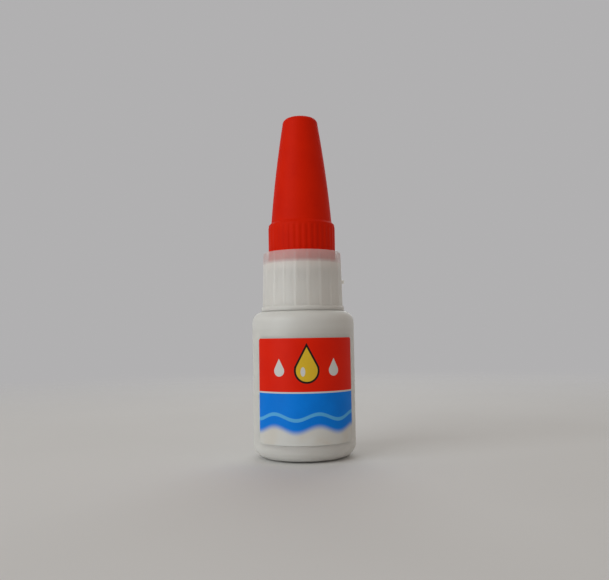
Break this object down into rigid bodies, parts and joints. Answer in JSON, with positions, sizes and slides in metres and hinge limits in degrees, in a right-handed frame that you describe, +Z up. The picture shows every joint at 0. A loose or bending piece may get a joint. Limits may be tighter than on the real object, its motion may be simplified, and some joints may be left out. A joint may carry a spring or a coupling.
{
  "type": "squeeze bottle of adhesive",
  "caption": "Small round squeeze bottle of adhesive with a ribbed screw-on nozzle and a tall pointed screw cap with a pin that keeps the spout open.",
  "frame": {"origin": "centre of the bottle's base, on the plane it stands on", "axes": "+Z up along the bottle's axis to the cap's crown, -Y towards the label, +X to the right of the label"},
  "size_m": [0.025, 0.0252, 0.084],
  "materials": {
    "bottle_plastic": "milky translucent polyethylene, satin",
    "adhesive": "clear liquid, wet",
    "label_film": "printed film, semi-gloss",
    "seal_foam": "soft foamed polyethylene",
    "nozzle_plastic": "milky translucent polyethylene, satin",
    "cap_plastic": "moulded red plastic, semi-gloss",
    "pin_steel": "drawn steel wire"
  },
  "bodies": {
    "bottle": {"bottle_body": "bottle_plastic", "adhesive_fill": "adhesive", "front_label": "label_film"},
    "seal": {"neck_seal": "seal_foam"},
    "nozzle": {"nozzle": "nozzle_plastic"},
    "pin": {"cap_pin": "pin_steel"},
    "cap": {"cap": "cap_plastic"}
  },
  "joints": [
    {"name": "nozzle_lift", "type": "slide", "parent": "bottle", "child": "seal", "axis": [0, 0, 1], "range_m": [0, 0.0105]},
    {"name": "nozzle_turn", "type": "hinge", "parent": "seal", "child": "nozzle", "pos_m": [0, 0, 0.0455], "axis": [0, 0, 1], "range_deg": [0, 1260]},
    {"name": "cap_lift", "type": "slide", "parent": "nozzle", "child": "pin", "axis": [0, 0, 1], "range_m": [0, 0.038]},
    {"name": "cap_turn", "type": "hinge", "parent": "pin", "child": "cap", "pos_m": [0, 0, 0.047], "axis": [0, 0, 1], "range_deg": [0, 720]}
  ],
  "couplings": [
    {"joint": "nozzle_turn", "follows": "nozzle_lift", "rad_per_m": 2094.4},
    {"joint": "cap_turn", "follows": "cap_lift", "rad_per_m": 330.69}
  ]
}
